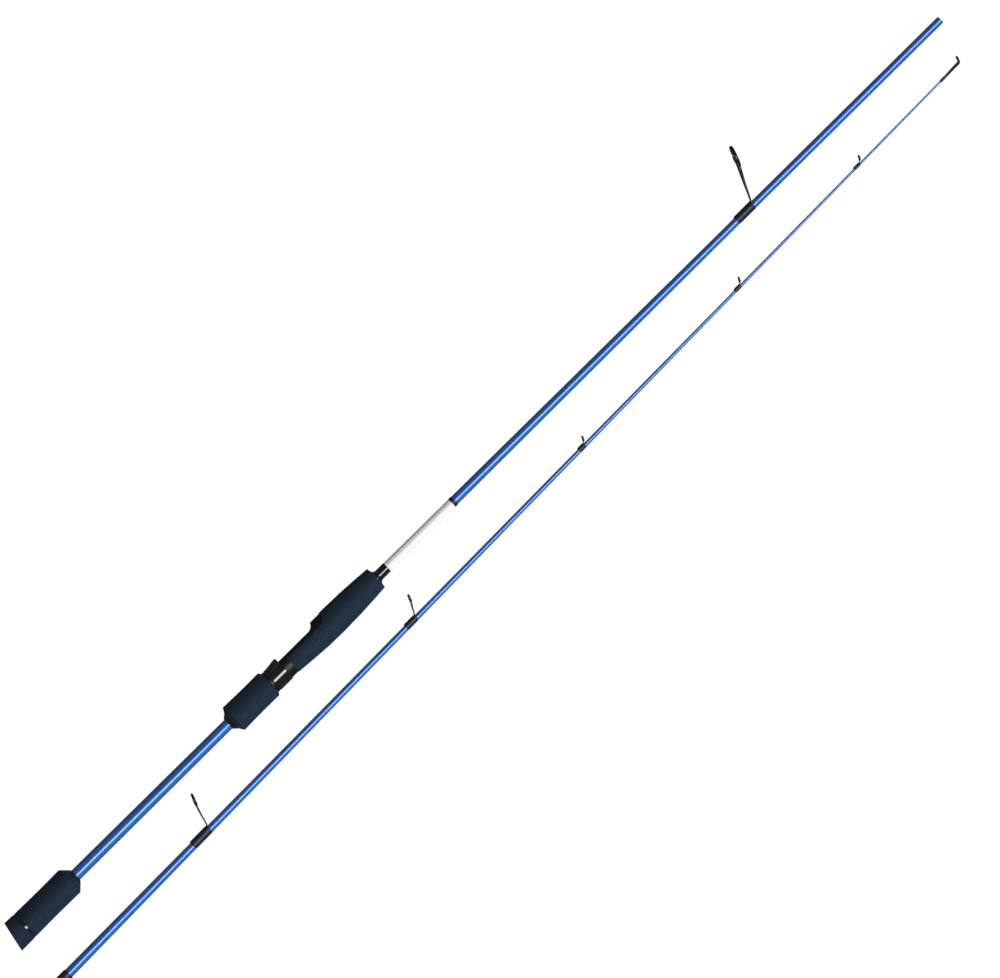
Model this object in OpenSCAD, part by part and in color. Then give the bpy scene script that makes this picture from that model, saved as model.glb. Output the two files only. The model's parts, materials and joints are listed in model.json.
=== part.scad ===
// Two-piece spinning rod, taken apart, lying on its side: the butt section with its
// handle and reel seat, and the tip section loose beside it.
// Origin: centre of the bounding box, on the surface that the rod lies on.
// +X runs along the butt section to its thin end, +Y is the side of the reel and
// the line guides, +Z is up.

/* [Butt section] */
// Length from the rear-most point of the heel to the open thin end
butt_l = 1097.5; // [1080:0.5:1120]
// Radius of the parallel male end that the tip section pushes onto
spigot_r = 3.4; // [3.38:0.01:3.43]
// Length of that male end
spigot_l = 66; // [50:1:80]
// Wall of the butt section's tube
blank_wall = 1; // [0.8:0.1:1.2]

/* [Handle] */
// Radius of the butt cap at the heel
cap_r = 13.5; // [13.3:0.1:14.5]
// Lean of the heel's face
heel_slant = 11.9; // [0:0.1:13]
// Radius of the foam grips
grip_r = 13.1; // [13:0.05:13.2]
// How far the foam grips draw in at the waist
grip_waist = 0.25; // [0:0.05:0.6]

/* [Reel seat] */
// Height of the reel-foot platform above the rod's axis
platform_h = 7.8; // [7.7:0.05:7.9]
// Crest radius of the barrel's thread
thread_r = 8.2; // [8.1:0.05:8.25]
// Travel of the nut and hood for one turn
thread_pitch = 2; // [1.5:0.5:2.5]
// Half width of the pockets for the ends of a reel foot
pocket_half_w = 6; // [5:0.1:6.3]

/* [Tip section] */
// Radius of the socket in the tip section's mouth
socket_r = 3.45; // [3.44:0.01:3.5]
// Depth of the socket
socket_l = 66; // [50:1:80]
// Turn of the loose tip section towards the butt section
tip_yaw = 0.94; // [0:0.02:1]
// Distance from the butt section's axis to the tip section's mouth
tip_gap = 54.6; // [50:0.1:70]

/* [Hidden] */

$fn = 72;
glue_gap = 0.03;          // between bonded pieces
turn_gap = 0.15;          // between pieces that turn or slide past each other
carbon_blue = [0.27, 0.49, 0.8];
foam_navy = [0.12, 0.17, 0.23];
thread_navy = [0.09, 0.13, 0.24];
plastic_black = [0.05, 0.05, 0.055];
frame_black = [0.08, 0.08, 0.09];
ceramic_grey = [0.16, 0.16, 0.17];

// --- the two blanks: [x, outside radius] where the taper changes ---
blank_start = 9;                     // the blank ends blind in the cap
butt_taper = [[blank_start, 5.4], [248, 4.95], [525, 4.2], [700, 3.75], [830, 3.45],
              [butt_l - spigot_l, spigot_r], [butt_l, spigot_r]];
tip_blank_end = 1090;
tip_taper = [[0, 4.4], [140, 3.7], [300, 3], [600, 2.05], [800, 1.42], [1075, 0.8],
             [tip_blank_end, 0.78]];

// --- line guides: where the foot's wrap ends, wrap length, then the ring's centre
// along and above the blank, its outside radius, its lean towards the tip, and how far
// past the wrap's end its legs rise ---
stripper = [875, 19.5, 892.9, 39.6, 9.7, 19, 0.4];
tip_guides = [[195.5, 20, 203.7, 26.5, 5.7, 20.9, 0],
              [443, 12.4, 450.5, 15.5, 3.6, 19.5, 0],
              [645.5, 7.2, 648.1, 5.2, 2.6, 25, 0],
              [833.3, 7.2, 836, 4.7, 2.5, 25, 0],
              [977.5, 7.4, 980.5, 4.1, 2.4, 25, 0]];
// --- tip-top: where its tube ends, wrap length, then its ring in the same terms ---
tip_top = [1097, 7, 1098.2, 2.5, 3.2, 20];

// --- ring sizes from the outside radius ---
function hoop_wall(r) = 0.3 + 0.05 * r;
function ring_out(r) = r - hoop_wall(r);
function ring_bore(r) = 0.87 * r - 0.6;
function ring_w(r) = 1.2 + 0.16 * r;
function hoop_w(r) = 0.7 * ring_w(r);

// --- where the loose tip section lies: mouth, height and slope on its rings ---
tip_x = -12.4;
tip_z = 6.3;
tip_pitch = 0.16;
ferrule_r = 4.9;

// --- bounding box centre, seen from the heel ---
top_y = stripper[3] + stripper[4] * cos(stripper[5]) + hoop_w(stripper[4]) / 2 * sin(stripper[5]);
centre_x = (butt_l + tip_x - ferrule_r * sin(tip_yaw)) / 2;
centre_y = (top_y - tip_gap - ferrule_r) / 2;

module on_butt() { translate([-centre_x, -centre_y, cap_r]) children(); }
module on_tip() {
    translate([tip_x - centre_x, -tip_gap - centre_y, tip_z])
        rotate([0, tip_pitch, tip_yaw]) children();
}

// --- helpers: profile points are [radius, x] ---
function reversed(list) = [for (i = [len(list) - 1 : -1 : 0]) list[i]];
function taper_from(taper, grow, x0, x1) =
    concat([[lookup(x0, taper) + grow, x0]],
           [for (p = taper) if (p[0] > x0 && p[0] < x1) [p[1] + grow, p[0]]],
           [[lookup(x1, taper) + grow, x1]]);

// A solid of revolution about +X.
module turned(profile) {
    rotate([0, 90, 0]) rotate_extrude() polygon(profile);
}

// A closed sleeve between an outside profile and a blank's own taper.
module sleeve_on(taper, outer) {
    x0 = outer[0][1];
    x1 = outer[len(outer) - 1][1];
    turned(concat(outer, reversed(taper_from(taper, glue_gap, x0, x1))));
}

// A foam sleeve's outside: a shallow waist between two ends.
function waisted(x0, x1, r0, r1, waist, steps = 8) =
    [for (i = [0:steps]) let (t = i / steps)
        [r0 + (r1 - r0) * t - waist * sin(180 * t), x0 + (x1 - x0) * t]];

// A straight round bar between two points.
module strut(from, to, r) {
    d = to - from;
    translate(from) rotate([0, acos(d[2] / norm(d)), atan2(d[1], d[0])])
        cylinder(h = norm(d), r = r, $fn = 24);
}

// ------------------------------------------------------------ butt end
ring_x = 15.1;
grip_x = 17.3;
grip_end = 69;
check_x = 73.5;
check_end = 76.3;

module butt_blank() {
    color(carbon_blue) on_butt()
        turned(concat(taper_from(butt_taper, 0, blank_start, butt_l),
                      reversed(taper_from(butt_taper, -blank_wall, blank_start, butt_l))));
}

module butt_cap() {
    blank_hole_r = butt_taper[0][1] + glue_gap;
    color(foam_navy) on_butt() difference() {
        turned([[0, -1], [cap_r, -1], [cap_r, 6], [cap_r - 0.3, ring_x], [0, ring_x]]);
        turned([[0, blank_start - glue_gap], [blank_hole_r, blank_start - glue_gap],
                [blank_hole_r, ring_x + 1], [0, ring_x + 1]]);
        translate([0, -cap_r, 0]) rotate([0, 0, -heel_slant])
            translate([-40, -20, -20]) cube([40, 80, 40]);
    }
}

module butt_cap_ring() {
    r = cap_r - 0.6;
    color(plastic_black) on_butt()
        sleeve_on(butt_taper, [[r - 0.2, ring_x], [r, ring_x + 0.3], [r, grip_x - 0.3],
                               [r - 0.2, grip_x]]);
}

module butt_grip() {
    color(foam_navy) on_butt()
        sleeve_on(butt_taper,
            concat(waisted(grip_x, grip_end, grip_r, grip_r - 0.1, grip_waist),
                   [[8.5, check_x]]));
}

module butt_grip_check() {
    color(plastic_black) on_butt()
        sleeve_on(butt_taper, [[8.5, check_x], [7.9, check_x + 0.6], [5.9, check_end - 0.4],
                               [5.6, check_end]]);
}

// ------------------------------------------------------------ lock nut
nut_back = 255.4;                    // rear check
nut_foam_back = 258.9;
nut_bore_back = 263;
nut_foam_front = 304.2;
nut_front = 306;
nut_out_r = 10;
nut_check_bore = 5.25;
hood_back = 306.3;
hood_nose_end = 308.3;

module lock_nut() {
    bore_r = thread_r + turn_gap;
    nose_r = 9.2;
    color(plastic_black) on_butt()
        turned([[bore_r, nut_bore_back], [nut_out_r, nut_bore_back],
                [nut_out_r, nut_foam_front], [nose_r, nut_foam_front],
                [nose_r, hood_nose_end], [bore_r, hood_nose_end]]);
}

module nut_grip() {
    foam_bore = nut_out_r + glue_gap;
    color(foam_navy) on_butt()
        turned(concat([[6, nut_foam_back], [8.6, nut_foam_back]],
                      waisted(261.7, 302.6, grip_r + 0.1, grip_r - 0.2, grip_waist),
                      [[10.6, nut_foam_front], [foam_bore, nut_foam_front],
                       [foam_bore, nut_bore_back - glue_gap], [6, nut_bore_back - glue_gap]]));
}

module nut_rear_check() {
    back_face = nut_foam_back - glue_gap;
    color(plastic_black) on_butt()
        turned([[nut_check_bore, nut_back], [5.7, nut_back], [8.6, back_face],
                [nut_check_bore, back_face]]);
}

module nut_front_ring() {
    bore_r = 9.2 + glue_gap;
    color(plastic_black) on_butt()
        turned([[bore_r, nut_foam_front + glue_gap], [10.3, nut_foam_front + glue_gap],
                [10.5, nut_foam_front + 0.3], [10.5, nut_front - 0.3], [10.3, nut_front],
                [bore_r, nut_front]]);
}

// ------------------------------------------------------------ reel seat
barrel_back = 270;
collar_x = 321.5;
collar_r = 10;
foregrip_x = 328.3;
foregrip_end = 428.8;
core_r = 8;
core_end = 385;
foregrip_cup = 428.4;                // face that the front check seats on
arbor_l = 14;
rear_arbor_x = 272;
front_arbor_x = 350;
seat_bore_r = 6.2;
thread_root = 7.6;
key_w = 3;
key_floor = 7.2;
band_h = 4.5;                        // height where the foam gives way to the seat's flank
mouth_x = 356.6;                     // foot of the fixed hood's mouth
mouth_top_x = 363.4;
hood_top_h = 12.5;
climb_x = 366;                       // where the foam's edge starts to climb
climb_end = 374.2;
pocket_end = 370;

// Swell of the foregrip: radius where it changes.
foregrip_swell = [[328.3, 10.5], [345, 11.8], [362, 12.9], [378, 13.1], [400, 12.6],
                  [416, 11.7], [428.8, 10.8]];

// Edge of the foam beside the fixed hood: flat, then climbing on a quarter curve.
function climb(steps = 6) =
    [for (i = [0:steps]) let (a = 90 * i / steps)
        [climb_x + (climb_end - climb_x) * sin(a),
         band_h + (13.4 - band_h) * (1 - cos(a))]];

// Mouth of the fixed hood: a concave quarter from the platform up to its lip.
function mouth(steps = 6) =
    [for (i = [0:steps]) let (a = 90 * i / steps)
        [mouth_x + (mouth_top_x - mouth_x) * sin(a),
         platform_h + (hood_top_h + 0.5 - platform_h) * (1 - cos(a))]];

// The space of the seat's upper half, seen from the side; gap > 0 makes it larger.
module seat_window(gap) {
    translate([0, 0, -20]) linear_extrude(40)
        polygon(concat([[foregrip_x - 1, 20], [foregrip_x - 1, band_h - gap]],
                       [for (p = climb()) [p[0] + gap, p[1] - gap]],
                       [[climb_end + gap, 20]]));
}

module reel_seat_body() {
    ridge_count = 20;
    thread_start = 271;
    ridges = [for (i = [0:ridge_count - 1], k = [0:3])
        [k == 0 || k == 3 ? thread_root : thread_r,
         thread_start + thread_pitch * (i + [0.1, 0.4, 0.6, 0.9][k])]];
    color(plastic_black) on_butt() difference() {
        union() {
            turned(concat([[0, barrel_back], [thread_root, barrel_back]], ridges,
                [[thread_root, thread_start + thread_pitch * ridge_count + 0.5],
                 [thread_r, thread_start + thread_pitch * ridge_count + 1],
                 [thread_r, collar_x], [collar_r - 0.1, collar_x], [collar_r, collar_x + 0.4],
                 [collar_r, foregrip_x - glue_gap], [core_r, foregrip_x - glue_gap],
                 [core_r, core_end], [0, core_end]]));
            // flanks, platform and fixed hood, flush with the foam's swell
            intersection() {
                turned(concat([[0, foregrip_x - 0.1]],
                    [for (p = foregrip_swell) if (p[0] < 380)
                        [min(p[1] - 0.25, hood_top_h), max(p[0], foregrip_x - 0.1)]],
                    [[0, 378]]));
                seat_window(0);
            }
        }
        // clear above the platform and round the fixed hood's mouth
        translate([0, 0, -20]) linear_extrude(40)
            polygon(concat([[collar_x - 1, 20], [collar_x - 1, platform_h]], mouth(),
                           [[mouth_top_x, 20]]));
        // pocket in the fixed hood, its floor a little below the platform
        intersection() {
            translate([mouth_x + 1.4, platform_h - 0.3, -pocket_half_w])
                cube([pocket_end - mouth_x - 1.4, 3.5, 2 * pocket_half_w]);
            turned([[0, mouth_x], [hood_top_h - 1.1, mouth_x],
                    [hood_top_h - 1.1, pocket_end], [0, pocket_end]]);
        }
        // flat on the barrel for the foot's rear end
        translate([306, platform_h - 0.3, -20]) cube([collar_x - 306, 5, 40]);
        // bore for the blank and its arbors
        turned([[0, barrel_back - 1], [seat_bore_r, barrel_back - 1],
                [seat_bore_r, core_end + 1], [0, core_end + 1]]);
        // slot that keeps the sliding hood from turning
        translate([barrel_back - 1, -thread_r - 1, -key_w / 2])
            cube([collar_x - barrel_back + 1, thread_r + 1 - key_floor, key_w]);
    }
}

module arbor(x) {
    r = seat_bore_r - glue_gap;
    color("tan") on_butt() sleeve_on(butt_taper, [[r, x], [r, x + arbor_l]]);
}
module rear_seat_arbor() { arbor(rear_arbor_x); }
module front_seat_arbor() { arbor(front_arbor_x); }

module foregrip() {
    bore_r = core_r + glue_gap;
    color(foam_navy) on_butt() difference() {
        turned(concat([for (p = foregrip_swell) [p[1], p[0]]],
            [[10.3, foregrip_end + 0.4], [8.4, foregrip_cup]],
            reversed(taper_from(butt_taper, glue_gap, core_end + glue_gap, foregrip_cup)),
            [[bore_r, core_end + glue_gap], [bore_r, foregrip_x]]));
        seat_window(glue_gap);
    }
}

module front_check() {
    back = foregrip_cup + glue_gap;
    arc_x = 429.5;
    arc_r = 3.45;
    collar = 4.75;
    end = 442;
    color(plastic_black) on_butt()
        sleeve_on(butt_taper, concat([[8.3, back]],
            [for (a = [0:15:90]) [collar + arc_r * (1 - sin(a)), arc_x + 3.8 * (1 - cos(a))]],
            [[collar, end - 0.2], [collar - 0.15, end]]));
}

module trim_wrap() {
    x0 = 518.3;
    x1 = 521.7;
    r = lookup(x0, butt_taper) + 0.35;
    color(thread_navy) on_butt()
        sleeve_on(butt_taper, [[r - 0.2, x0], [r, x0 + 0.4], [r, x1 - 0.4], [r - 0.2, x1]]);
}

// ------------------------------------------------------------ sliding hood
module sliding_hood() {
    mouth_front = 321.2;
    thread_zone = 308.5;
    pocket_x = 311;
    body_r = 10.7;
    color(plastic_black) on_butt() {
        difference() {
            union() {
                turned([[0, hood_back], [body_r - 0.4, hood_back], [body_r, hood_back + 1.2],
                        [body_r, mouth_front - 0.3], [body_r - 0.2, mouth_front],
                        [0, mouth_front]]);
                intersection() {
                    turned([[0, hood_back], [10.3, hood_back], [11.85, 319.2], [12, 320.2],
                            [11.5, mouth_front], [0, mouth_front]]);
                    translate([hood_back - 1, 0, -9]) cube([20, 20, 18]);
                }
            }
            turned([[0, hood_back - 1], [9.4, hood_back - 1], [9.4, thread_zone],
                    [thread_r + 0.25, thread_zone], [thread_r + 0.25, pocket_x],
                    [collar_r + turn_gap, pocket_x], [collar_r + turn_gap, mouth_front + 1],
                    [0, mouth_front + 1]]);
            // pocket for the foot's rear end, its roof following the flare
            intersection() {
                turned([[0, pocket_x], [collar_r + turn_gap, pocket_x],
                        [11.1, mouth_front + 0.1], [11.1, mouth_front + 1],
                        [0, mouth_front + 1]]);
                translate([pocket_x - 1, 0, -pocket_half_w - 0.5])
                    cube([20, 20, 2 * pocket_half_w + 1]);
            }
        }
        // key in the barrel's slot
        translate([thread_zone, -thread_r - 0.6, -key_w / 2 + 0.2])
            cube([pocket_x - thread_zone, thread_r + 0.4 - key_floor, key_w - 0.4]);
    }
}

// ------------------------------------------------------------ line guides
module ring_place(g) {
    translate([g[2], g[3], 0]) rotate([0, 0, -g[5]]) children();
}

function foot_w(r) = max(1.2, r * 0.55);
foot_t = 0.74;
foot_share = 0.85;                   // part of the wrap's length that covers the foot
foot_toe = 0.8;                      // how far the foot shows past its wrap
leg_set_back = 0.25;                 // legs meet the hoop behind its middle, a share of its width
leg_root = [0.4, 0.5];              // where the legs meet the foot, along and above the blank

// Frame on one foot: the foot lies under the wrap and two legs carry the hoop, which they
// meet towards its rear edge.
module guide_frame(taper, g, leg_r) {
    r = lookup(g[0], taper);
    side = g[4] - hoop_wall(g[4]) / 2;
    low = 0.55 * side;
    knee = [g[0] + g[6] + leg_root[0], r + leg_root[1], 0];
    back = leg_set_back * hoop_w(g[4]);
    color(frame_black) {
        difference() {
            union() {
                ring_place(g) rotate([0, 90, 0])
                    cylinder(h = hoop_w(g[4]), r = g[4], center = true);
                for (s = [-1, 1])
                    strut(knee, [g[2] - low * sin(g[5]) - back * cos(g[5]),
                                 g[3] - low * cos(g[5]) + back * sin(g[5]),
                                 s * sqrt(side * side - low * low)], leg_r);
            }
            ring_place(g) rotate([0, 90, 0])
                cylinder(h = 3 * g[4], r = ring_out(g[4]), center = true);
        }
        translate([g[0] - g[1] * foot_share, r + 0.06, -foot_w(r) / 2])
            cube([g[1] * foot_share + max(g[6], 0) + foot_toe, foot_t, foot_w(r)]);
    }
}

// Ceramic ring: rounded edges either side of a short straight bore.
module guide_ring(g) {
    out = ring_out(g[4]) - 0.01;
    bore = ring_bore(g[4]);
    w = ring_w(g[4]);
    bevel = (out - bore) * 0.45;
    color(ceramic_grey) ring_place(g)
        turned([[out, -w / 2], [out, w / 2], [bore + bevel, w / 2], [bore, w / 4],
                [bore, -w / 4], [bore + bevel, -w / 2]]);
}

// Thread wrap under varnish: fuller over the foot than below the blank.
module guide_wrap(taper, g) {
    x0 = g[0] - g[1];
    r0 = lookup(g[0] - g[1] / 2, taper);
    full = r0 + 0.6;
    r = lookup(g[0], taper);
    color(thread_navy) difference() {
        translate([0, 0.4, 0])
            turned(concat([[0, x0]],
                [for (a = [0:30:90]) [full - 0.35 * (1 - sin(a)), x0 + 1.4 * (1 - cos(a))]],
                [for (a = [90:-30:0]) [full - 0.35 * (1 - sin(a)), g[0] - 1.2 * (1 - cos(a))]],
                [[0, g[0]]]));
        turned(concat([[0, x0 - 1]], taper_from(taper, 0.02, x0 - 1, g[0] + 1),
                      [[0, g[0] + 1]]));
        translate([g[0] - g[1] * foot_share - 0.05, 0, -foot_w(r) / 2 - 0.03])
            cube([g[1] + 2, r + 0.06 + foot_t + 0.03, foot_w(r) + 0.06]);
    }
}

module stripper_frame() { on_butt() guide_frame(butt_taper, stripper, 0.6); }
module stripper_ring() { on_butt() guide_ring(stripper); }
module stripper_wrap() { on_butt() guide_wrap(butt_taper, stripper); }
module tip_guide_frame(i) { on_tip() guide_frame(tip_taper, tip_guides[i], i < 2 ? 0.5 : 0.35); }
module tip_guide_ring(i) { on_tip() guide_ring(tip_guides[i]); }
module tip_guide_wrap(i) { on_tip() guide_wrap(tip_taper, tip_guides[i]); }

// ------------------------------------------------------------ tip section
module tip_blank() {
    core_end_x = 600;                // the tube is solid in front of this
    color(carbon_blue) on_tip()
        turned(concat([[socket_r, 0]], taper_from(tip_taper, 0, 0, tip_blank_end),
                      [[0, tip_blank_end], [0, core_end_x], [1, core_end_x],
                       [2.9, socket_l], [socket_r, socket_l]]));
}

module ferrule_wrap() {
    end = 27;
    color(thread_navy) on_tip()
        sleeve_on(tip_taper, [[ferrule_r - 0.25, 0], [ferrule_r, 0.8], [ferrule_r, end - 2],
                              [ferrule_r - 0.2, end - 0.6], [4.45, end]]);
}

top_tube_x = 1081;
top_tube_bore = 0.83;
top_strut_x = 1086;
module tip_top_frame() {
    tube_r = 1.15;
    side = tip_top[4] - hoop_wall(tip_top[4]) / 2;
    high = 0.6 * side;
    color(frame_black) on_tip() difference() {
        union() {
            turned([[0, top_tube_x], [tube_r, top_tube_x], [tube_r, tip_top[0]],
                    [0, tip_top[0]]]);
            ring_place(tip_top) rotate([0, 90, 0])
                cylinder(h = hoop_w(tip_top[4]), r = tip_top[4], center = true);
            for (s = [-1, 1])
                strut([top_strut_x, tube_r - 0.2, s * 0.5],
                      [tip_top[2] + high * sin(tip_top[5]), tip_top[3] + high * cos(tip_top[5]),
                       s * sqrt(side * side - high * high)], 0.3);
        }
        turned([[0, top_tube_x - 1], [top_tube_bore, top_tube_x - 1], [top_tube_bore, tip_blank_end + 0.1],
                [0, tip_blank_end + 0.1]]);
        ring_place(tip_top) rotate([0, 90, 0])
            cylinder(h = ring_w(tip_top[4]), r = ring_out(tip_top[4]), center = true);
    }
}
module tip_top_ring() { on_tip() guide_ring(tip_top); }
module tip_top_wrap() {
    x0 = top_tube_x - tip_top[1];
    color(thread_navy) on_tip()
        sleeve_on(tip_taper, [[1, x0], [1.2, x0 + 0.8], [1.3, top_tube_x - 1],
                              [1.15, top_tube_x - glue_gap]]);
}

butt_blank();
butt_cap();
butt_cap_ring();
butt_grip();
butt_grip_check();
lock_nut();
nut_grip();
nut_rear_check();
nut_front_ring();
sliding_hood();
reel_seat_body();
rear_seat_arbor();
front_seat_arbor();
foregrip();
front_check();
trim_wrap();
stripper_frame();
stripper_ring();
stripper_wrap();
tip_blank();
ferrule_wrap();
for (i = [0:4]) {
    tip_guide_frame(i);
    tip_guide_ring(i);
    tip_guide_wrap(i);
}
tip_top_frame();
tip_top_ring();
tip_top_wrap();
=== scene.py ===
"""Looks for a two-piece spinning rod that lies taken apart on a white floor."""
import json
import math

import bmesh
import bpy
from mathutils import Matrix, Vector, noise


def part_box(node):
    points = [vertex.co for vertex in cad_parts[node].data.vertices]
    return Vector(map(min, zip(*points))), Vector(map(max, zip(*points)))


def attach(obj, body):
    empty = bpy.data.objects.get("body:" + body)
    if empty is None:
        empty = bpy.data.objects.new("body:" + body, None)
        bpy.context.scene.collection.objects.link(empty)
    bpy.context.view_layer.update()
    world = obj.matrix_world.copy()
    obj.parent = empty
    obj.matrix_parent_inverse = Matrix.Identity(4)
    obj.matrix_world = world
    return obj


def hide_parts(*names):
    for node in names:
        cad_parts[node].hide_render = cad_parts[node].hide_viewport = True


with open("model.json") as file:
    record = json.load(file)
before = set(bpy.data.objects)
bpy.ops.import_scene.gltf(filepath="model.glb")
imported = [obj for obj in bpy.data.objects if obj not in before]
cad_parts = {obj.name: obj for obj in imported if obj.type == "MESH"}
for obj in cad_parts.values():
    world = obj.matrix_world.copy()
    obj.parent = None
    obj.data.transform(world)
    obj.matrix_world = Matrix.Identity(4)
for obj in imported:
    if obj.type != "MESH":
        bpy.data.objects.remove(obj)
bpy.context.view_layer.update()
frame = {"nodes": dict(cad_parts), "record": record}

MM = 0.001
CREASE = math.radians(35)        # edges sharper than this stay sharp
FOAM_SEG, FOAM_STEP = 120, 1.1   # faces around the foam, and their length along it in millimetres
HOOP_SHARE = 0.7                 # a hoop's width as a share of its ceramic ring's
RING_SHARE, RING_LIP = 0.87, 0.6  # a ring's hole is this share of the hoop's radius, less this lip
scene = bpy.context.scene
nodes = frame["nodes"]
mounts = {m["name"]: m for m in frame["record"]["mounts"]}


# ------------------------------------------------------------ places
def section_places():
    """The frames of the two sections: x in millimetres from the heel or the mouth, y to the guides."""
    low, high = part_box("butt_cap")
    middle = (low + high) / 2
    butt = Matrix.Translation((low.x, middle.y, middle.z))
    socket = mounts["tip_socket"]
    along = -Vector(socket["axis"])
    side = Vector((0, 0, 1)).cross(along).normalized()
    mouth = Vector(socket["pos_m"]) - along * socket["dims"]["length_mm"] * MM / 2
    turn = Matrix((along, side, along.cross(side))).transposed().to_4x4()
    return butt @ Matrix.Scale(MM, 4), Matrix.Translation(mouth) @ turn @ Matrix.Scale(MM, 4)


BUTT, TIP = section_places()


def extent(node, place):
    """A node's lowest and highest corners in a section's frame, in millimetres."""
    back = place.inverted()
    points = [back @ v.co for v in nodes[node].data.vertices]
    return [Vector([f(p[i] for p in points) for i in range(3)]) for f in (min, max)]


# ------------------------------------------------------------ node materials
class Look:
    """A Principled material with short calls for the nodes that feed it."""

    def __init__(self, name, **sockets):
        self.material = bpy.data.materials.new(name)
        self.material.use_nodes = True
        self.tree = self.material.node_tree
        self.shader = self.tree.nodes["Principled BSDF"]
        self.place = self.node("ShaderNodeTexCoord").outputs["Object"]
        for socket, value in sockets.items():
            self.shader.inputs[socket.replace("_", " ")].default_value = value

    def node(self, kind, **values):
        made = self.tree.nodes.new(kind)
        for key, value in values.items():
            if key in made.inputs:
                made.inputs[key].default_value = value
            else:
                setattr(made, key, value)
        return made

    def link(self, source, target):
        self.tree.links.new(source, target)

    def noise(self, scale, detail=3.0, stretch=(1, 1, 1)):
        """Noise whose scale is in cells to the metre."""
        mapping = self.node("ShaderNodeMapping")
        mapping.inputs["Scale"].default_value = stretch
        self.link(self.place, mapping.inputs["Vector"])
        made = self.node("ShaderNodeTexNoise", Scale=scale, Detail=detail)
        self.link(mapping.outputs["Vector"], made.inputs["Vector"])
        return made.outputs["Fac"]

    def cells(self, scale):
        made = self.node("ShaderNodeTexVoronoi", Scale=scale)
        self.link(self.place, made.inputs["Vector"])
        return made

    def ramp(self, source, stops):
        made = self.node("ShaderNodeValToRGB")
        elements = made.color_ramp.elements
        while len(elements) < len(stops):
            elements.new(0.5)
        for element, (at, colour) in zip(elements, stops):
            element.position = at
            element.color = (*colour, 1)
        self.link(source, made.inputs["Fac"])
        return made.outputs["Color"]

    def vary(self, source, low, high, socket="Roughness"):
        made = self.node("ShaderNodeMapRange")
        made.inputs["To Min"].default_value = low
        made.inputs["To Max"].default_value = high
        self.link(source, made.inputs["Value"])
        self.link(made.outputs["Result"], self.shader.inputs[socket])

    def bump(self, source, strength, depth):
        """Adds relief on top of any bump already there; depth is in metres."""
        made = self.node("ShaderNodeBump", Strength=strength, Distance=depth)
        self.link(source, made.inputs["Height"])
        normal = self.shader.inputs["Normal"]
        if normal.links:
            self.link(normal.links[0].from_socket, made.inputs["Normal"])
        self.link(made.outputs["Normal"], normal)


def blue_lacquer():
    look = Look("blue_lacquer", Metallic=0.6, Coat_Weight=0.6, Coat_Roughness=0.14, Coat_IOR=1.8)
    colour = look.ramp(look.noise(400, 2, (0.05, 1, 1)),
                       [(0.2, (0.062, 0.225, 0.78)), (0.8, (0.068, 0.24, 0.82))])
    look.link(colour, look.shader.inputs["Base Color"])
    look.vary(look.noise(120, 2, (0.2, 1, 1)), 0.3, 0.34)
    return look.material


def white_paint():
    look = Look("white_paint", Specular_IOR_Level=0.35)
    colour = look.ramp(look.noise(60, 2), [(0.3, (0.86, 0.83, 0.9)), (0.7, (0.88, 0.85, 0.92))])
    look.link(colour, look.shader.inputs["Base Color"])
    look.vary(look.noise(80, 2), 0.4, 0.44)
    return look.material


def bare_carbon():
    look = Look("bare_carbon", Metallic=0.1)
    colour = look.ramp(look.noise(2500, 3, (0.1, 1, 1)),
                       [(0.3, (0.006, 0.006, 0.008)), (0.8, (0.03, 0.03, 0.035))])
    look.link(colour, look.shader.inputs["Base Color"])
    look.vary(look.noise(1500), 0.45, 0.7)
    look.bump(look.noise(2500), 0.3, 0.00005)
    return look.material


def navy_foam():
    look = Look("navy_foam", Sheen_Weight=0.1, Sheen_Roughness=0.5, Specular_IOR_Level=0.3)
    look.shader.inputs["Sheen Tint"].default_value = (0.35, 0.5, 0.7, 1)
    colour = look.ramp(look.noise(220, 5),
                       [(0.25, (0.0055, 0.0155, 0.030)), (0.55, (0.0075, 0.0205, 0.041)),
                        (0.85, (0.0105, 0.026, 0.051))])
    look.link(colour, look.shader.inputs["Base Color"])
    look.vary(look.noise(1800), 0.72, 0.92)
    look.bump(look.cells(2600).outputs["Distance"], 0.3, 0.0001)
    look.bump(look.noise(5200, 2), 0.25, 0.00006)
    return look.material


def thread_under_varnish():
    look = Look("thread_under_varnish", Coat_Weight=0.35, Coat_Roughness=0.22)
    colour = look.ramp(look.noise(3800, 3, (1, 0.1, 0.1)),
                       [(0.3, (0.007, 0.010, 0.030)), (0.8, (0.013, 0.019, 0.052))])
    look.link(colour, look.shader.inputs["Base Color"])
    look.vary(look.noise(1200), 0.42, 0.52)
    look.bump(look.noise(420, 2), 0.08, 0.00003)
    return look.material


def black_plastic(name, rough, grain, coat=0.0):
    look = Look(name, Coat_Weight=coat, Coat_Roughness=0.06, Coat_IOR=2.0)
    colour = look.ramp(look.noise(500, 4),
                       [(0.3, (0.0050, 0.0046, 0.0050)), (0.8, (0.0090, 0.0080, 0.0086))])
    look.link(colour, look.shader.inputs["Base Color"])
    look.vary(look.noise(1600), rough - 0.04, rough + 0.05)
    look.bump(look.noise(1400, 2), grain, 0.00002)
    return look.material


def gunmetal():
    look = Look("gunmetal", Metallic=0.85)
    colour = look.ramp(look.noise(900, 4), [(0.3, (0.022, 0.022, 0.025)), (0.8, (0.05, 0.05, 0.055))])
    look.link(colour, look.shader.inputs["Base Color"])
    look.vary(look.noise(2400), 0.24, 0.4)
    look.bump(look.noise(4500, 2), 0.15, 0.00003)
    return look.material


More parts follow.
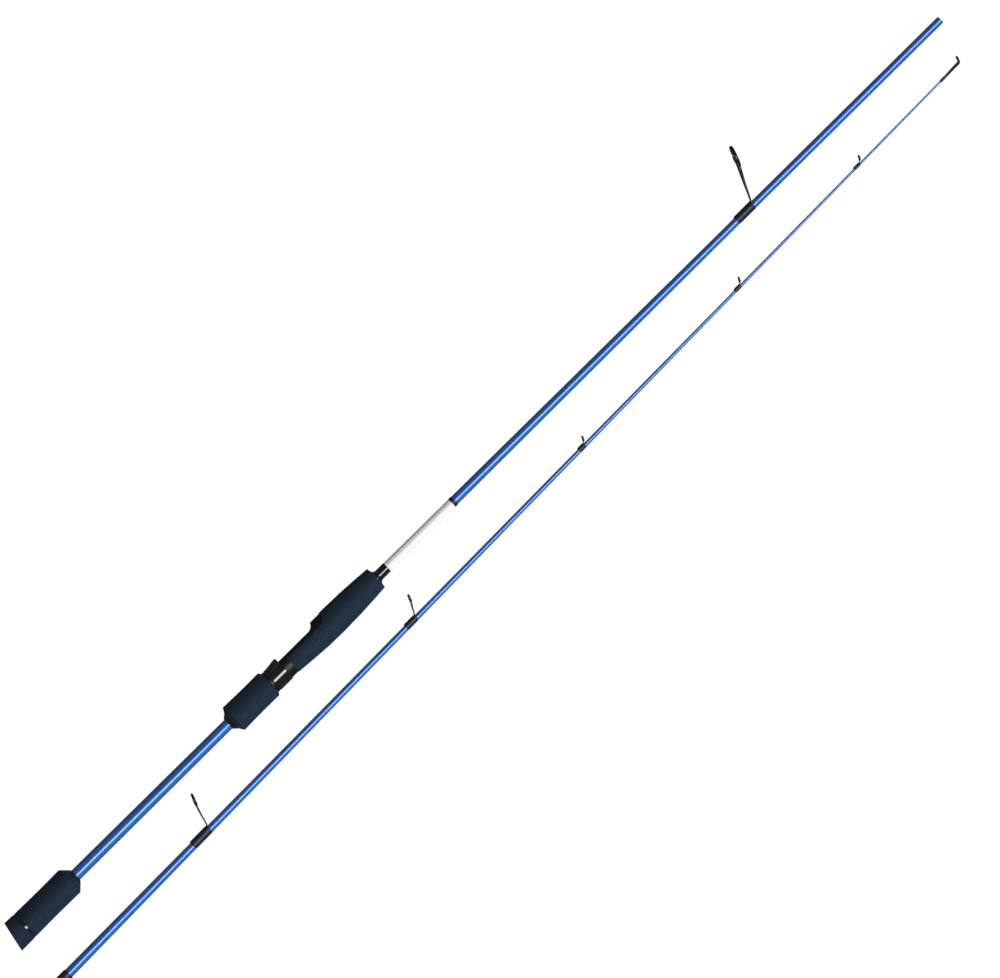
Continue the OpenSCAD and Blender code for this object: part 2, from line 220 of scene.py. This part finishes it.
def dark_ceramic():
    look = Look("dark_ceramic", Coat_Weight=0.6, Coat_Roughness=0.04)
    colour = look.ramp(look.noise(1300, 4), [(0.3, (0.022, 0.022, 0.025)), (0.8, (0.045, 0.045, 0.05))])
    look.link(colour, look.shader.inputs["Base Color"])
    look.vary(look.noise(2000), 0.14, 0.24)
    return look.material


def arbor_tan():
    look = Look("arbor_tan")
    colour = look.ramp(look.noise(900, 5), [(0.3, (0.3, 0.22, 0.13)), (0.7, (0.5, 0.38, 0.24))])
    look.link(colour, look.shader.inputs["Base Color"])
    look.vary(look.noise(1500), 0.7, 0.9)
    look.bump(look.noise(1500), 0.4, 0.0002)
    return look.material


BLUE, WHITE, CARBON = blue_lacquer(), white_paint(), bare_carbon()
FOAM, THREAD = navy_foam(), thread_under_varnish()
GLOSS, SATIN = black_plastic("gloss_black", 0.2, 0.0, 0.8), black_plastic("satin_black", 0.4, 0.04)
METAL, CERAMIC, ARBOR = gunmetal(), dark_ceramic(), arbor_tan()


# ------------------------------------------------------------ mesh helpers
def rounded(points, closed=True, steps=5):
    """A profile of (x, r, fillet) corners with each fillet replaced by an arc."""
    out = []
    count = len(points)
    for i, (x, r, *rest) in enumerate(points):
        fillet = rest[0] if rest else 0
        at = Vector((x, r))
        if not fillet or (not closed and i in (0, count - 1)):
            out.append((x, r))
            continue
        before, after = Vector(points[i - 1][:2]) - at, Vector(points[(i + 1) % count][:2]) - at
        reach = min(fillet, before.length * 0.48, after.length * 0.48)
        start, end = at + before.normalized() * reach, at + after.normalized() * reach
        for k in range(steps + 1):
            t = k / steps
            out.append(tuple(start * (1 - t) ** 2 + at * 2 * t * (1 - t) + end * t * t))
    return out


def refined(points, step):
    """The same profile with its long straight stretches cut to about the given step."""
    out = []
    for (x0, r0), (x1, r1) in zip(points, points[1:]):
        parts = max(1, round(math.hypot(x1 - x0, r1 - r0) / step))
        out += [(x0 + (x1 - x0) * k / parts, r0 + (r1 - r0) * k / parts) for k in range(parts)]
    return out + [points[-1]]


def add_lathe(bm, profile, place, seg=64, closed=True, warp=None, paint=None):
    """Turns a profile of (x, r) about the place's x axis; a radius of 0 closes an open end."""
    rings = []
    for x, r in profile:
        count = 1 if r < 1e-6 else seg
        ring = []
        for k in range(count):
            a = 2 * math.pi * k / seg
            local = Vector((x, r * math.cos(a), r * math.sin(a)))
            ring.append(bm.verts.new(place @ (warp(local) if warp else local)))
        rings.append(ring)
    pairs = list(zip(range(len(rings)), range(1, len(rings))))
    if closed:
        pairs.append((len(rings) - 1, 0))
    for i, j in pairs:
        a, b = rings[i], rings[j]
        if len(a) == len(b) == 1:
            continue
        for k in range(seg):
            corners = [a[k % len(a)], b[k % len(b)], b[(k + 1) % len(b)], a[(k + 1) % len(a)]]
            corners = [v for n, v in enumerate(corners) if v not in corners[:n]]
            face = bm.faces.new(corners)
            if paint:
                face.material_index = paint((profile[i][0] + profile[j][0]) / 2,
                                            (profile[i][1] + profile[j][1]) / 2)


def smooth_path(points, per_span=8):
    """A Catmull-Rom curve through the points."""
    pts = [Vector(p) for p in points]
    pts = [2 * pts[0] - pts[1]] + pts + [2 * pts[-1] - pts[-2]]
    out = []
    for a, b, c, d in zip(pts, pts[1:], pts[2:], pts[3:]):
        for k in range(per_span):
            t = k / per_span
            out.append(0.5 * (2 * b + (c - a) * t + (2 * a - 5 * b + 4 * c - d) * t * t
                              + (3 * b - a - 3 * c + d) * t ** 3))
    return out + [pts[-2]]


def add_wire(bm, path, radius, place, seg=14):
    """A round wire with domed ends along a path; radius may be a function of the share of its length."""
    size = radius if callable(radius) else (lambda t: radius)
    rings = []
    normal = Vector((0, 0, 1))
    for i, p in enumerate(path):
        tangent = (path[min(i + 1, len(path) - 1)] - path[max(i - 1, 0)]).normalized()
        normal = (normal - tangent * normal.dot(tangent)).normalized()
        other = tangent.cross(normal)
        r = size(i / (len(path) - 1))
        rings.append([bm.verts.new(place @ (p + (normal * math.cos(2 * math.pi * k / seg)
                                                + other * math.sin(2 * math.pi * k / seg)) * r))
                      for k in range(seg)])
    for a, b in zip(rings, rings[1:]):
        for k in range(seg):
            bm.faces.new([a[k], a[(k + 1) % seg], b[(k + 1) % seg], b[k]])
    for ring, p, step in ((rings[0], path[0], path[0] - path[1]),
                          (rings[-1], path[-1], path[-1] - path[-2])):
        tip = bm.verts.new(place @ (p + step.normalized() * size(0.5) * 0.4))
        for k in range(seg):
            bm.faces.new([ring[k], ring[(k + 1) % seg], tip])


def shade(bm):
    """Smooth faces, with the edges that are sharper than CREASE left sharp."""
    for face in bm.faces:
        face.smooth = True
    for edge in bm.edges:
        edge.smooth = not edge.is_manifold or edge.calc_face_angle(0) < CREASE


def finish_piece(bm, name, materials, body, replaced):
    """Makes the mesh into a piece that rides on its body and stands for its CAD nodes."""
    bmesh.ops.recalc_face_normals(bm, faces=bm.faces)
    shade(bm)
    mesh = bpy.data.meshes.new(name)
    bm.to_mesh(mesh)
    bm.free()
    piece = bpy.data.objects.new(name, mesh)
    scene.collection.objects.link(piece)
    for material in materials:
        mesh.materials.append(material)
    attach(piece, body)
    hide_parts(*replaced)
    return piece


def turned_piece(name, node, profile, place, material, body, slot, **options):
    bm = bmesh.new()
    add_lathe(bm, profile, place, **options)
    return finish_piece(bm, name, [material], body, [node])


# ------------------------------------------------------------ blanks
def taper_table(node, place):
    """(x, outer radius) at each of the CAD blank's stations, read off its own vertices."""
    back = place.inverted()
    radii = {}
    for v in nodes[node].data.vertices:
        p = back @ v.co
        x = round(p.x, 1)
        r = math.hypot(p.y, p.z)
        radii[x] = max(radii.get(x, 0), r)
    return sorted(radii.items())


def at(table, x):
    """Radius of a blank at x, by straight lines between its stations."""
    if x <= table[0][0]:
        return table[0][1]
    for (x0, r0), (x1, r1) in zip(table, table[1:]):
        if x <= x1:
            return r0 + (r1 - r0) * (x - x0) / (x1 - x0)
    return table[-1][1]


def outer_only(table):
    """Drops stations that only the bore has, which lie well inside the straight taper."""
    kept = [table[0]]
    for i in range(1, len(table) - 1):
        (x0, r0), (x1, r1), (x2, r2) = kept[-1], table[i], table[i + 1]
        if r1 > (r0 + (r2 - r0) * (x1 - x0) / (x2 - x0)) - 0.4:
            kept.append(table[i])
    return kept + [table[-1]]


BUTT_TAPER = outer_only(taper_table("butt_blank", BUTT))
TIP_TAPER = outer_only(taper_table("tip_blank", TIP))
BAND = (extent("front_check", BUTT)[1].x, extent("trim_wrap", BUTT)[0].x)


def make_blanks():
    wall = 1.0
    end = BUTT_TAPER[-1][0]
    outside = sorted(set([x for x, _ in BUTT_TAPER] + list(BAND)))
    profile = [(x, at(BUTT_TAPER, x), 0.3 if x == end else 0) for x in outside]
    profile += [(end, at(BUTT_TAPER, end) - wall, 0.15), (outside[0], at(BUTT_TAPER, outside[0]) - wall)]

    def butt_paint(x, r):
        if r < at(BUTT_TAPER, x) - 0.3:
            return 2
        return 1 if BAND[0] <= x <= BAND[1] else 0

    bm = bmesh.new()
    add_lathe(bm, rounded(profile), BUTT, 80, paint=butt_paint)
    finish_piece(bm, "butt_tube", [BLUE, WHITE, CARBON], "butt_section", ["butt_blank"])

    depth = mounts["tip_socket"]["dims"]["length_mm"]
    bore = mounts["tip_socket"]["dims"]["r_mm"]
    profile = [(x, r, 0.3 if x == 0 else 0) for x, r in TIP_TAPER]
    profile += [(TIP_TAPER[-1][0], 0), (depth + 40, 0), (depth, bore * 0.8), (depth, bore), (0, bore, 0.2)]
    bm = bmesh.new()
    add_lathe(bm, rounded(profile), TIP, 80, paint=lambda x, r: 0 if r > at(TIP_TAPER, x) - 0.3 else 1)
    finish_piece(bm, "tip_tube", [BLUE, CARBON], "tip_section", ["tip_blank"])


# ------------------------------------------------------------ foam
def foam_skin(depth=0.045):
    """Very small dents of a sanded closed-cell foam, as a warp for a lathe."""
    def warp(p):
        if math.hypot(p.y, p.z) < 6:
            return p
        dent = depth * (noise.noise(p * 0.9) + 0.6 * noise.noise(p * 2.6 + Vector((7, 3, 1))) - 1.0)
        out = Vector((0, p.y, p.z)).normalized()
        return p + out * dent
    return warp


def waisted(x0, x1, r0, r1, waist, steps=14):
    return [(x0 + (x1 - x0) * k / steps, r0 + (r1 - r0) * k / steps - waist * math.sin(math.pi * k / steps))
            for k in range(steps + 1)]


def make_foam():
    skin = foam_skin()
    radius = extent("butt_cap", BUTT)[1].z
    cap_end = extent("butt_cap", BUTT)[1].x
    heel = mounts["heel_face"]["axis"]
    lean = abs(heel[1] / heel[0])

    def slanted(p):
        """Leans the flat heel and lets the lean die out towards the trim ring."""
        q = skin(p)
        return q + Vector(((1 - p.x / cap_end) * (p.y + radius) * lean, 0, 0))

    profile = rounded([(0, 0), (0, radius, 0.45), (cap_end, radius - 0.3, 0.4), (cap_end, 0)], closed=False)
    turned_piece("cap_foam", "butt_cap", refined(profile, FOAM_STEP), BUTT, FOAM, "butt_section", "navy_foam",
                 seg=FOAM_SEG, closed=False, warp=slanted)

    low, high = extent("butt_grip", BUTT)
    barrel_end = high.x - 4.5
    profile = [(low.x, 5.5), (low.x, high.z - 0.1, 0.4)]
    profile += waisted(low.x + 1, barrel_end - 0.8, high.z, high.z - 0.1, 0.25)
    profile += [(barrel_end, high.z - 0.12, 0.9), (high.x, 8.6, 0.3), (high.x, 5.5)]
    turned_piece("rear_grip_foam", "butt_grip", refined(rounded(profile), FOAM_STEP), BUTT, FOAM, "butt_section",
                 "navy_foam", seg=FOAM_SEG, warp=skin)

    low, high = extent("nut_grip", BUTT)
    bore = 10.03
    profile = [(low.x, 6), (low.x, 8.7, 0.3), (low.x + 2.8, high.z, 0.8)]
    profile += waisted(low.x + 3.8, high.x - 2.4, high.z, high.z - 0.3, 0.25)
    profile += [(high.x - 1.6, high.z - 0.3, 0.8), (high.x, 10.7, 0.3), (high.x, bore), (low.x + 4, bore),
                (low.x + 4, 6)]
    turned_piece("nut_foam", "nut_grip", refined(rounded(profile), FOAM_STEP), BUTT, FOAM, "nut", "navy_foam",
                 seg=FOAM_SEG, warp=skin)


def foregrip_radius(x, knots):
    """The foregrip's swell, on a smooth curve through the CAD grip's own stations."""
    for i, ((x0, r0), (x1, r1)) in enumerate(zip(knots, knots[1:])):
        if x <= x1 or i == len(knots) - 2:
            before = knots[max(i - 1, 0)]
            after = knots[min(i + 2, len(knots) - 1)]
            m0 = (r1 - before[1]) / (x1 - before[0]) * (x1 - x0)
            m1 = (after[1] - r0) / (after[0] - x0) * (x1 - x0)
            t = (x - x0) / (x1 - x0)
            return ((2 * t ** 3 - 3 * t * t + 1) * r0 + (t ** 3 - 2 * t * t + t) * m0
                    + (3 * t * t - 2 * t ** 3) * r1 + (t ** 3 - t * t) * m1)


def make_foregrip():
    low, high = extent("foregrip", BUTT)
    front = high.x - 0.4
    knots = [(x, r) for x, r in outer_only(taper_table("foregrip", BUTT)) if x <= front + 0.1]
    profile = [(low.x, 8.05), (low.x, knots[0][1], 0.2)]
    steps, first, length = 44, low.x + 1, front - low.x - 1.8
    stations = [first + length * k / steps for k in range(steps + 1)]
    profile += [(x, foregrip_radius(x, knots)) for x in stations]
    profile += [(front, knots[-1][1], 0.5), (high.x, 10.2, 0.4), (front - 0.5, 8.5), (front - 0.5, 5)]
    profile += [(386, 5), (385, 8.05)]
    bm = bmesh.new()
    add_lathe(bm, refined(rounded(profile), FOAM_STEP), BUTT, FOAM_SEG, warp=foam_skin())
    piece = finish_piece(bm, "foregrip_foam", [FOAM], "butt_section", ["foregrip"])

    # the space of the reel seat's upper half: flat, then climbing beside the fixed hood
    flank, climb_x, climb_end, climb = 4.5, 366, 374.2, 8.9
    back, top, half_width = low.x - 2, 22, 20
    outline = [(back, top), (back, flank)]
    outline += [(climb_x + (climb_end - climb_x) * math.sin(a), flank + climb * (1 - math.cos(a)))
                for a in (math.pi / 2 * k / 16 for k in range(17))]
    outline.append((climb_end, top))
    bm = bmesh.new()
    sides = [[bm.verts.new(BUTT @ Vector((x, y, z))) for x, y in outline]
             for z in (-half_width, half_width)]
    bm.faces.new(sides[0])
    bm.faces.new(sides[1])
    for k in range(len(outline)):
        n = (k + 1) % len(outline)
        bm.faces.new([sides[0][k], sides[0][n], sides[1][n], sides[1][k]])
    bmesh.ops.recalc_face_normals(bm, faces=bm.faces)
    mesh = bpy.data.meshes.new("foregrip_cutter")
    bm.to_mesh(mesh)
    bm.free()
    cutter = bpy.data.objects.new("foregrip_cutter", mesh)
    scene.collection.objects.link(cutter)
    cut = piece.modifiers.new("window", "BOOLEAN")
    cut.object = cutter
    cut.operation = "DIFFERENCE"
    cut.solver = "EXACT"
    bpy.context.view_layer.update()
    cut_mesh = bpy.data.meshes.new_from_object(piece.evaluated_get(bpy.context.evaluated_depsgraph_get()))
    piece.modifiers.clear()
    piece.data = cut_mesh
    bpy.data.objects.remove(cutter)
    bm = bmesh.new()
    bm.from_mesh(cut_mesh)
    shade(bm)
    bm.to_mesh(cut_mesh)
    bm.free()


# ------------------------------------------------------------ hard trim
def make_trim():
    def sleeve(name, node, outside, material, slot, body="butt_section", inner=None):
        x0, x1 = outside[0][0], outside[-1][0]
        inside = [(x1, inner or at(BUTT_TAPER, x1)), (x0, inner or at(BUTT_TAPER, x0))]
        turned_piece(name, node, rounded(list(outside) + inside), BUTT, material, body, slot, seg=96)

    low, high = extent("butt_cap_ring", BUTT)
    r = high.z
    sleeve("cap_trim", "butt_cap_ring", [(low.x, r, 0.35), (high.x, r, 0.35)], GLOSS, "gloss_black")
    low, high = extent("butt_grip_check", BUTT)
    sleeve("rear_check", "butt_grip_check",
           [(low.x, 8.5, 0.2), (low.x + 0.7, 8.0, 0.4), (high.x - 0.5, 5.95, 0.3), (high.x, 5.6, 0.1)],
           GLOSS, "gloss_black")
    low, high = extent("front_check", BUTT)
    collar, flare, throat = 4.75, 3.45, 429.5
    curve = [(throat + 3.8 * (1 - math.cos(a)), collar + flare * (1 - math.sin(a)))
             for a in (math.pi / 2 * k / 14 for k in range(15))]
    sleeve("front_trumpet", "front_check",
           [(low.x, 8.3, 0.2)] + curve + [(high.x, collar, 0.3)], GLOSS, "gloss_black")
    low, high = extent("nut_rear_check", BUTT)
    sleeve("nut_check", "nut_rear_check",
           [(low.x, 5.7, 0.2), (high.x, 8.6, 0.2)], GLOSS, "gloss_black", "nut", 5.25)
    low, high = extent("nut_front_ring", BUTT)
    sleeve("nut_ring", "nut_front_ring",
           [(low.x, high.z, 0.3), (high.x, high.z, 0.3)], SATIN, "gloss_black", "nut", 9.23)


# ------------------------------------------------------------ thread wraps
def wrap_profile(x0, x1, radius, ends, pitch=0.3, relief=0.02):
    """Barrel of thread turns under varnish: fine ridges, and ends that come down on a curve."""
    count = max(24, round((x1 - x0) / pitch) * 4)
    out = []
    for k in range(count + 1):
        x = x0 + (x1 - x0) * k / count
        near = min((x - x0) / ends, (x1 - x) / ends, 1)
        fall = 0.45 * (1 - math.sin(math.pi / 2 * near))
        out.append((x, radius - fall + relief * (math.cos(2 * math.pi * (x - x0) / pitch) - 1) / 2))
    return out


def make_wrap(name, node, table, place, body, lift):
    low, high = extent(node, place)
    crown, sole = high.y, -low.y
    radius, rise = (crown + sole) / 2, (crown - sole) / 2 * lift
    outside = wrap_profile(low.x, high.x, radius, min(1.4, (high.x - low.x) / 4))
    inside = [(high.x, at(table, high.x)), (low.x, at(table, low.x))]

    def warp(p):
        return p + Vector((0, rise, 0)) if math.hypot(p.y, p.z) > at(table, p.x) + 0.02 else p

    turned_piece(name, node, outside + inside, place, THREAD, body, "navy_wrap", warp=warp)


def make_wraps():
    make_wrap("stripper_thread", "stripper_wrap", BUTT_TAPER, BUTT, "butt_section", 1)
    make_wrap("trim_thread", "trim_wrap", BUTT_TAPER, BUTT, "butt_section", 0)
    make_wrap("ferrule_thread", "ferrule_wrap", TIP_TAPER, TIP, "tip_section", 0)
    make_wrap("tip_top_thread", "tip_top_wrap", TIP_TAPER, TIP, "tip_section", 0)
    for n in range(1, 6):
        make_wrap(f"guide_{n}_thread", f"guide_{n}_wrap", TIP_TAPER, TIP, "tip_section", 1)


# ------------------------------------------------------------ line guides
def hoop_wall(r):
    """A hoop's wall, a little thicker on the larger rings."""
    return 0.3 + 0.05 * r


def guide_geometry(mount, place):
    """Ring centre, lean and outside radius of a guide in its section's frame."""
    hole = mounts[mount]
    back = place.inverted()
    centre = back @ Vector(hole["pos_m"])
    axis = (back.to_3x3() @ Vector(hole["axis"])).normalized()
    outer = (hole["dims"]["r_mm"] + RING_LIP) / RING_SHARE
    return centre, math.atan2(axis.y, -axis.x), outer


def make_guide(name, prefix, mount, table, place, body, wire, foot=None, rise=0.0):
    """One guide: a ceramic ring in a hoop, carried by bent wires that rise past the foot's wrap."""
    centre, lean, outer = guide_geometry(mount, place)
    ring_place = place @ Matrix.Translation(centre) @ Matrix.Rotation(-lean, 4, "Z")
    width = 2 * mounts[mount]["dims"]["length_mm"]
    inside = outer - hoop_wall(outer)
    half = HOOP_SHARE * width / 2

    bm = bmesh.new()
    add_lathe(bm, rounded([(-half, outer, 0.25), (half, outer, 0.25), (half, inside), (-half, inside)]),
              ring_place, 72)

    def on_hoop(angle, out, along):
        """A point on the hoop: 0 degrees is its foot, out from its centre, along its axis."""
        a = math.radians(angle)
        p = Vector((along, -out * math.cos(a), out * math.sin(a)))
        return centre + Matrix.Rotation(-lean, 3, "Z") @ p

    if foot:
        x_front, length = foot
        r = at(table, x_front)
        knee = Vector((x_front + rise + 0.3, r + 0.55, 0))
        side = outer - wire * 0.9
        for s in (-1, 1):
            start = Vector((x_front - length * 0.85, r + 0.42, s * 0.28))
            bend = Vector((x_front + rise - 1.2, r + 0.48, s * 0.3))
            seat = [on_hoop(s * a, side, -half - wire * 0.35) for a in (44, 60, 76, 92)]
            middle = knee.lerp(seat[0], 0.5) + Vector((0, 0, s * 0.06 * outer))
            add_wire(bm, smooth_path([start, bend, knee + Vector((0, 0, s * 0.3)), middle] + seat),
                     wire, place)
        low = on_hoop(0, outer - wire * 0.6, half * 0.4)
        add_wire(bm, smooth_path([bend, knee + Vector((0.5, 0.1, 0)), knee.lerp(low, 0.5), low]),
                 wire * 0.9, place)
    else:
        tube_low, tube_high = extent("tip_top_frame", place)
        start, end = tube_low.x, centre.x - 1.2
        tube_r = 1.15
        last = table[-1][0]
        add_lathe(bm, rounded([(start, tube_r, 0.2), (end, tube_r, 0.35), (end, 0), (last, 0), (last, 0.83),
                               (start, 0.83)]), place, 48)
        for s in (-1, 1):
            seat = [on_hoop(s * a, outer - wire, 0) for a in (118, 128, 138)]
            root = [Vector((start + 4, 0.8, s * 0.4)), Vector((start + 6, 1.1, s * 0.6))]
            add_wire(bm, smooth_path(root + seat), wire, place)
    finish_piece(bm, f"{name}_wire", [METAL], body, [f"{prefix}_frame"])

    bore = mounts[mount]["dims"]["r_mm"]
    rim = inside - 0.01
    mid, thick = (rim + bore) / 2, (rim - bore) / 2
    section = [(width / 2 * math.sin(a), mid - thick * math.copysign(abs(math.cos(a)) ** 0.7, math.cos(a)))
               for a in (2 * math.pi * k / 28 for k in range(28))]
    turned_piece(f"{name}_ceramic", f"{prefix}_ring", section, ring_place, CERAMIC, body,
                 "guide_ceramic", seg=72)


def make_guides():
    low, high = extent("stripper_wrap", BUTT)
    make_guide("stripper", "stripper", "stripper_line_hole", BUTT_TAPER, BUTT, "butt_section", 0.6,
               (high.x, high.x - low.x), 0.4)
    for n in range(1, 6):
        low, high = extent(f"guide_{n}_wrap", TIP)
        make_guide(f"guide_{n}", f"guide_{n}", f"guide_{n}_line_hole", TIP_TAPER, TIP, "tip_section",
                   0.42 if n < 3 else 0.3, (high.x, high.x - low.x))
    make_guide("tip_top", "tip_top", "tip_top_line_hole", TIP_TAPER, TIP, "tip_section", 0.3)


def finish_cad_nodes():
    """CAD parts whose shape is right keep it and get a proper finish."""
    looks = {"reel_seat_body": SATIN, "sliding_hood": GLOSS, "lock_nut": SATIN,
             "rear_seat_arbor": ARBOR, "front_seat_arbor": ARBOR}
    for node, material in looks.items():
        mesh = nodes[node].data
        mesh.materials.clear()
        mesh.materials.append(material)
        nodes[node].data.shade_smooth()
        edges = nodes[node].modifiers.new("rounded_edges", "BEVEL")
        edges.width = 0.00018
        edges.segments = 2
        edges.limit_method = "ANGLE"
        edges.angle_limit = math.radians(40)
        edges.harden_normals = True


# ------------------------------------------------------------ stage
def make_stage():
    bpy.ops.mesh.primitive_plane_add(size=12)
    floor = bpy.context.object
    floor.name = "floor"
    look = Look("floor_white", Base_Color=(0.05, 0.05, 0.05, 1), Roughness=0.9, Specular_IOR_Level=0.0)
    look.shader.inputs["Emission Color"].default_value = (1, 1, 1, 1)
    look.shader.inputs["Emission Strength"].default_value = 0.99
    floor.data.materials.append(look.material)
    floor.visible_glossy = False
    floor.visible_diffuse = False


def make_light(name, power, length, width, lean, distance, colour=(1, 1, 1), mirrored=True):
    """A strip along the rod, lean degrees off vertical and towards -Y when that is positive."""
    lamp = bpy.data.lights.new(name, "AREA")
    lamp.shape = "RECTANGLE"
    lamp.energy, lamp.size, lamp.size_y, lamp.color = power, length, width, colour
    holder = bpy.data.objects.new(name, lamp)
    scene.collection.objects.link(holder)
    holder.visible_camera = False
    holder.visible_glossy = mirrored
    tilt = Matrix.Rotation(math.radians(lean), 4, "X")
    holder.matrix_world = tilt @ Matrix.Translation((0, 0, distance))


def make_lights():
    make_light("strip", 30, 2.8, 0.56, 18, 1.8)
    make_light("side_fill", 30, 2.8, 0.9, 72, 1.9, (0.93, 0.96, 1), False)
    make_light("far_fill", 2, 2.8, 1.6, -55, 2.2, (0.85, 0.92, 1), False)
    world = bpy.data.worlds.new("studio")
    scene.world = world
    world.use_nodes = True
    world.node_tree.nodes["Background"].inputs["Color"].default_value = (0.8, 0.88, 1, 1)
    world.node_tree.nodes["Background"].inputs["Strength"].default_value = 0.07


def make_camera():
    """Above, rolled so that the rod climbs to the upper right, and leaning a little along it."""
    view_width, lens, sensor = 837.2, 400, 36
    lean, roll = math.radians(4), math.radians(44.7)
    centre = BUTT @ Vector((555.5, -20, 0))
    distance = view_width * MM * lens / sensor
    camera = bpy.data.cameras.new("camera")
    camera.lens, camera.sensor_width = lens, sensor
    holder = bpy.data.objects.new("camera", camera)
    scene.collection.objects.link(holder)
    turn = Matrix.Rotation(-lean, 4, "Y") @ Matrix.Rotation(-roll, 4, "Z")
    holder.matrix_world = Matrix.Translation(centre) @ turn @ Matrix.Translation((0, 0, distance))
    scene.camera = holder


make_camera()
make_stage()
make_lights()
make_blanks()
make_foam()
make_foregrip()
make_trim()
make_wraps()
make_guides()
finish_cad_nodes()

scene.view_settings.view_transform = "Standard"
